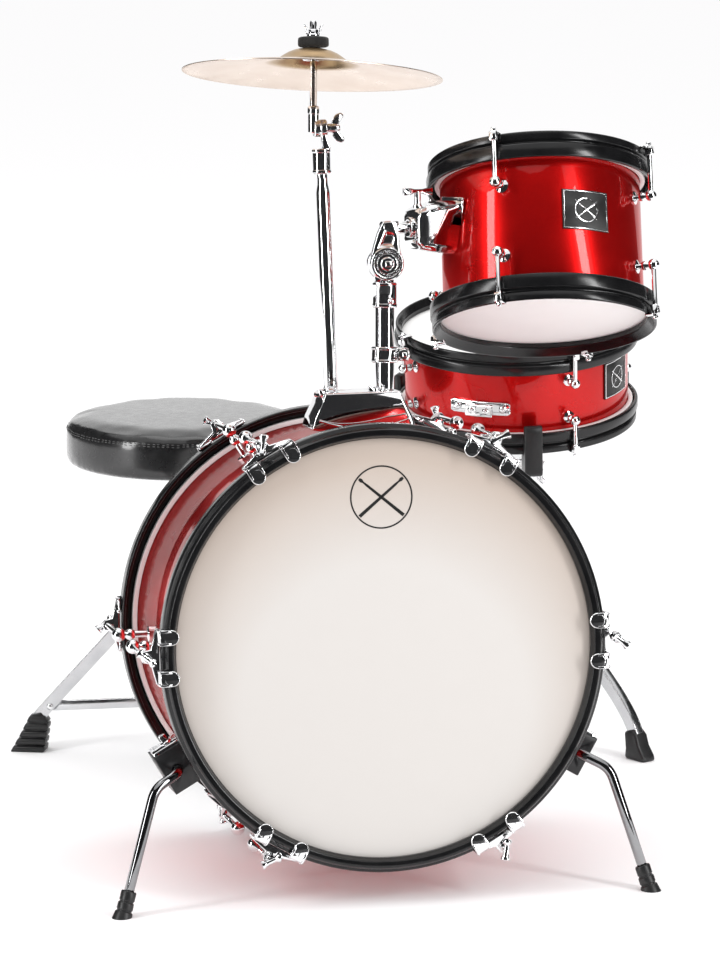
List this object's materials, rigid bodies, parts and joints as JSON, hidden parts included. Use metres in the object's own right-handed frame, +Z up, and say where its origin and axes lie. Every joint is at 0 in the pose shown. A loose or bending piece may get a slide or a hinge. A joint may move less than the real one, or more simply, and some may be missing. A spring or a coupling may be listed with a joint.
{
  "type": "acoustic drum kit",
  "caption": "Small acoustic drum kit: bass drum on spurs with tom and cymbal on its shell, snare drum on a tripod stand, kick pedal and round throne",
  "frame": {"origin": "on the floor, at the middle of the kit's footprint", "axes": "X to the right seen from the audience, Y towards the drummer, Z up"},
  "size_m": [0.7126, 0.9076, 0.8441],
  "materials": {
    "candy_red_lacquer": "high-gloss metallic red lacquer on a wooden shell",
    "black_steel": "gloss black enamel",
    "chrome": "polished chrome plate",
    "drumhead": "coated film",
    "cymbal_brass": "lathed brass",
    "felt": "pressed felt",
    "rubber": "moulded rubber",
    "black_plastic": "moulded black plastic",
    "vinyl": "embossed vinyl"
  },
  "bodies": {
    "root": {"bass_shell": "candy_red_lacquer", "bass_front_head": "drumhead", "bass_back_head": "drumhead", "bass_front_hoop": "black_steel", "bass_back_hoop": "black_steel", "spur_bracket_left": "black_plastic", "spur_bracket_right": "black_plastic", "drum_mount_housing": "chrome", "pedal_base": "chrome"},
    "spur_left_leg": {"spur_left": "chrome", "spur_foot_left": "rubber"},
    "spur_right_leg": {"spur_right": "chrome", "spur_foot_right": "rubber"},
    "cymbal_post": {"cymbal_tube": "chrome", "cymbal_tilter_base": "chrome"},
    "cymbal_tilter": {"cymbal_rod": "chrome", "cymbal_felt": "felt"},
    "cymbal_disk": {"cymbal": "cymbal_brass"},
    "cymbal_nut": {"cymbal_wing_nut": "chrome"},
    "tom_post": {"tom_tube": "chrome", "tom_memory_lock": "chrome"},
    "tom_swivel_base": {"tom_ratchet_base": "chrome"},
    "tom_arm": {"tom_ratchet_arm": "chrome"},
    "tom": {"tom_shell": "candy_red_lacquer", "tom_top_head": "drumhead", "tom_bottom_head": "drumhead", "tom_top_hoop": "black_steel", "tom_bottom_hoop": "black_steel", "tom_bracket": "chrome"},
    "stand_base": {"stand_base_tube": "chrome"},
    "stand_leg_collar": {"stand_collar": "chrome"},
    "stand_upper": {"stand_post": "chrome"},
    "basket": {"basket_hub": "chrome"},
    "snare_drum": {"snare_shell": "candy_red_lacquer", "snare_batter_head": "drumhead", "snare_wire_side_head": "drumhead", "snare_batter_hoop": "black_steel", "snare_wire_side_hoop": "black_steel"},
    "strainer_throw_off": {"strainer_lever": "chrome"},
    "throne_base": {"throne_base_tube": "chrome"},
    "throne_leg_collar": {"throne_collar": "chrome"},
    "throne_seat_post": {"throne_post": "chrome"},
    "throne_seat": {"throne_cushion": "vinyl"},
    "pedal_board": {"pedal_footboard": "chrome"},
    "pedal_striker": {"pedal_beater": "chrome"},
    "basket_grip_1": {"basket_arm_1": "chrome"},
    "stand_leg_1_body": {"stand_leg_1": "chrome"},
    "stand_strut_1_body": {"stand_strut_1": "chrome"},
    "throne_leg_1_body": {"throne_leg_1": "chrome"},
    "throne_strut_1_body": {"throne_strut_1": "chrome"},
    "basket_grip_2": {"basket_arm_2": "chrome"},
    "stand_leg_2_body": {"stand_leg_2": "chrome"},
    "stand_strut_2_body": {"stand_strut_2": "chrome"},
    "throne_leg_2_body": {"throne_leg_2": "chrome"},
    "throne_strut_2_body": {"throne_strut_2": "chrome"},
    "basket_grip_3": {"basket_arm_3": "chrome"},
    "stand_leg_3_body": {"stand_leg_3": "chrome"},
    "stand_strut_3_body": {"stand_strut_3": "chrome"},
    "throne_leg_3_body": {"throne_leg_3": "chrome"},
    "throne_strut_3_body": {"throne_strut_3": "chrome"}
  },
  "joints": [
    {"name": "spur_left_fold", "type": "hinge", "parent": "root", "child": "spur_left_leg", "pos_m": [-0.2608, -0.12367, 0.10345], "axis": [0, 0.9947, -0.1028], "range_deg": [0, 90]},
    {"name": "spur_right_fold", "type": "hinge", "parent": "root", "child": "spur_right_leg", "pos_m": [0.1392, -0.12367, 0.10345], "axis": [0, -0.9947, 0.1028], "range_deg": [0, 90]},
    {"name": "cymbal_height", "type": "slide", "parent": "root", "child": "cymbal_post", "axis": [-0.0209, 0.1028, 0.9945], "range_m": [-0.005, 0.05]},
    {"name": "cymbal_tilt", "type": "hinge", "parent": "cymbal_post", "child": "cymbal_tilter", "pos_m": [-0.08762, -0.218, 0.73744], "axis": [0.9995, -0.0032, -0.0312], "range_deg": [-12, 12]},
    {"name": "cymbal_spin", "type": "hinge", "parent": "cymbal_tilter", "child": "cymbal_disk", "pos_m": [-0.09213, -0.20404, 0.81588], "axis": [0.0802, 0.2089, 0.9746], "continuous": true},
    {"name": "cymbal_nut_turn", "type": "hinge", "parent": "cymbal_tilter", "child": "cymbal_nut", "pos_m": [-0.09213, -0.20404, 0.81588], "axis": [0.0313, 0.1753, 0.984], "continuous": true},
    {"name": "tom_height", "type": "slide", "parent": "root", "child": "tom_post", "axis": [0.0209, 0.1028, 0.9945], "range_m": [-0.015, 0.015]},
    {"name": "tom_swivel", "type": "hinge", "parent": "tom_post", "child": "tom_swivel_base", "pos_m": [-0.0283, -0.24904, 0.4371], "axis": [0.0209, 0.1028, 0.9945], "range_deg": [-8, 8]},
    {"name": "tom_ratchet_tilt", "type": "hinge", "parent": "tom_swivel_base", "child": "tom_arm", "pos_m": [-0.02482, -0.23198, 0.60219], "axis": [0, 0.9947, -0.1028], "range_deg": [-4, 8]},
    {"name": "tom_clamp_turn", "type": "hinge", "parent": "tom_arm", "child": "tom", "pos_m": [-0.02707, -0.23524, 0.63877], "axis": [0.9662, 0.2537, -0.0466], "range_deg": [-10, 10]},
    {"name": "pedal_press", "type": "hinge", "parent": "root", "child": "pedal_board", "pos_m": [-0.0528, 0.09425, 0.02], "axis": [1, 0, 0], "range_deg": [0, 11], "stiffness_Nm_per_rad": 1.5, "springref_deg": -28.65},
    {"name": "beater_swing", "type": "hinge", "parent": "root", "child": "pedal_striker", "pos_m": [-0.0528, -0.08775, 0.126], "axis": [1, 0, 0], "range_deg": [0, 46.5]},
    {"name": "stand_place", "type": "slide", "parent": "root", "child": "stand_base", "axis": [1, 0, 0], "range_m": [0, 0.12]},
    {"name": "stand_height", "type": "slide", "parent": "stand_base", "child": "stand_upper", "axis": [0, 0, 1], "range_m": [-0.012, 0.05]},
    {"name": "basket_tilt", "type": "hinge", "parent": "stand_upper", "child": "basket", "pos_m": [0.2209, 0.25545, 0.2923], "axis": [0.9989, -0.0066, 0.0466], "range_deg": [-8, 8]},
    {"name": "basket_arm_1_open", "type": "hinge", "parent": "basket", "child": "basket_grip_1", "pos_m": [0.21891, 0.23644, 0.2986], "axis": [0.9951, -0.0929, 0.0342], "range_deg": [0, 12]},
    {"name": "basket_arm_2_open", "type": "hinge", "parent": "basket", "child": "basket_grip_2", "pos_m": [0.23677, 0.26161, 0.30303], "axis": [-0.4221, 0.9001, 0.108], "range_deg": [0, 12]},
    {"name": "basket_arm_3_open", "type": "hinge", "parent": "basket", "child": "basket_grip_3", "pos_m": [0.20575, 0.2645, 0.30197], "axis": [-0.5729, -0.8072, -0.1422], "range_deg": [0, 12]},
    {"name": "snare_lift", "type": "slide", "parent": "basket", "child": "snare_drum", "axis": [-0.0471, -0.1407, 0.9889], "range_m": [0, 0.05]},
    {"name": "strainer_throw", "type": "hinge", "parent": "snare_drum", "child": "strainer_throw_off", "pos_m": [0.24223, 0.36457, 0.43833], "axis": [-0.9771, 0.2123, -0.0163], "range_deg": [0, 80]},
    {"name": "throne_place", "type": "slide", "parent": "root", "child": "throne_base", "axis": [0, 1, 0], "range_m": [0, 0.15]},
    {"name": "throne_height", "type": "slide", "parent": "throne_base", "child": "throne_seat_post", "axis": [0, 0, 1], "range_m": [0, 0.07]},
    {"name": "throne_spin", "type": "hinge", "parent": "throne_seat_post", "child": "throne_seat", "pos_m": [-0.1678, 0.18825, 0.3], "axis": [0, 0, 1], "continuous": true},
    {"name": "stand_fold", "type": "slide", "parent": "stand_base", "child": "stand_leg_collar", "axis": [0, 0, 1], "range_m": [0, 0.07]},
    {"name": "stand_leg_1_swing", "type": "hinge", "parent": "stand_leg_collar", "child": "stand_leg_1_body", "pos_m": [0.23247, 0.23442, 0.165], "axis": [0.8763, 0.4818, 0], "range_deg": [0, 19.13]},
    {"name": "stand_strut_1_swing", "type": "hinge", "parent": "stand_base", "child": "stand_strut_1_body", "pos_m": [0.23054, 0.23792, 0.066], "axis": [-0.8763, -0.4818, 0], "range_deg": [0, 32.56]},
    {"name": "stand_leg_2_swing", "type": "hinge", "parent": "stand_leg_collar", "child": "stand_leg_2_body", "pos_m": [0.23333, 0.27598, 0.165], "axis": [-0.8554, 0.518, 0], "range_deg": [0, 19.13]},
    {"name": "stand_strut_2_swing", "type": "hinge", "parent": "stand_base", "child": "stand_strut_2_body", "pos_m": [0.23126, 0.27256, 0.066], "axis": [0.8554, -0.518, 0], "range_deg": [0, 32.56]},
    {"name": "stand_leg_3_swing", "type": "hinge", "parent": "stand_leg_collar", "child": "stand_leg_3_body", "pos_m": [0.19691, 0.25595, 0.165], "axis": [-0.0209, -0.9998, 0], "range_deg": [0, 19.13]},
    {"name": "stand_strut_3_swing", "type": "hinge", "parent": "stand_base", "child": "stand_strut_3_body", "pos_m": [0.20091, 0.25587, 0.066], "axis": [0.0209, 0.9998, 0], "range_deg": [0, 32.56]},
    {"name": "throne_fold", "type": "slide", "parent": "throne_base", "child": "throne_leg_collar", "axis": [0, 0, 1], "range_m": [0, 0.085]},
    {"name": "throne_leg_1_swing", "type": "hinge", "parent": "throne_leg_collar", "child": "throne_leg_1_body", "pos_m": [-0.19062, 0.19567, 0.194], "axis": [-0.309, -0.9511, 0], "range_deg": [0, 6.67]},
    {"name": "throne_strut_1_swing", "type": "hinge", "parent": "throne_base", "child": "throne_strut_1_body", "pos_m": [-0.18682, 0.19443, 0.06], "axis": [0.309, 0.9511, 0], "range_deg": [0, 33.52]},
    {"name": "throne_leg_2_swing", "type": "hinge", "parent": "throne_leg_collar", "child": "throne_leg_2_body", "pos_m": [-0.16281, 0.16477, 0.194], "axis": [0.9781, 0.2079, 0], "range_deg": [0, 6.67]},
    {"name": "throne_strut_2_swing", "type": "hinge", "parent": "throne_base", "child": "throne_strut_2_body", "pos_m": [-0.16364, 0.16869, 0.06], "axis": [-0.9781, -0.2079, 0], "range_deg": [0, 33.52]},
    {"name": "throne_leg_3_swing", "type": "hinge", "parent": "throne_leg_collar", "child": "throne_leg_3_body", "pos_m": [-0.14996, 0.20431, 0.194], "axis": [-0.6691, 0.7431, 0], "range_deg": [0, 6.67]},
    {"name": "throne_strut_3_swing", "type": "hinge", "parent": "throne_base", "child": "throne_strut_3_body", "pos_m": [-0.15293, 0.20163, 0.06], "axis": [0.6691, -0.7431, 0], "range_deg": [0, 33.52]}
  ],
  "couplings": [
    {"joint": "beater_swing", "follows": "pedal_press", "ratio": 4.2},
    {"joint": "basket_arm_2_open", "follows": "basket_arm_1_open", "ratio": 1},
    {"joint": "basket_arm_3_open", "follows": "basket_arm_1_open", "ratio": 1},
    {"joint": "stand_leg_1_swing", "follows": "stand_fold", "rad_per_m": 4.6445},
    {"joint": "stand_strut_1_swing", "follows": "stand_fold", "rad_per_m": 7.9928},
    {"joint": "stand_leg_2_swing", "follows": "stand_fold", "rad_per_m": 4.6445},
    {"joint": "stand_strut_2_swing", "follows": "stand_fold", "rad_per_m": 7.9928},
    {"joint": "stand_leg_3_swing", "follows": "stand_fold", "rad_per_m": 4.6445},
    {"joint": "stand_strut_3_swing", "follows": "stand_fold", "rad_per_m": 7.9928},
    {"joint": "throne_leg_1_swing", "follows": "throne_fold", "rad_per_m": 1.2663},
    {"joint": "throne_strut_1_swing", "follows": "throne_fold", "rad_per_m": 6.7798},
    {"joint": "throne_leg_2_swing", "follows": "throne_fold", "rad_per_m": 1.2663},
    {"joint": "throne_strut_2_swing", "follows": "throne_fold", "rad_per_m": 6.7798},
    {"joint": "throne_leg_3_swing", "follows": "throne_fold", "rad_per_m": 1.2663},
    {"joint": "throne_strut_3_swing", "follows": "throne_fold", "rad_per_m": 6.7798}
  ]
}
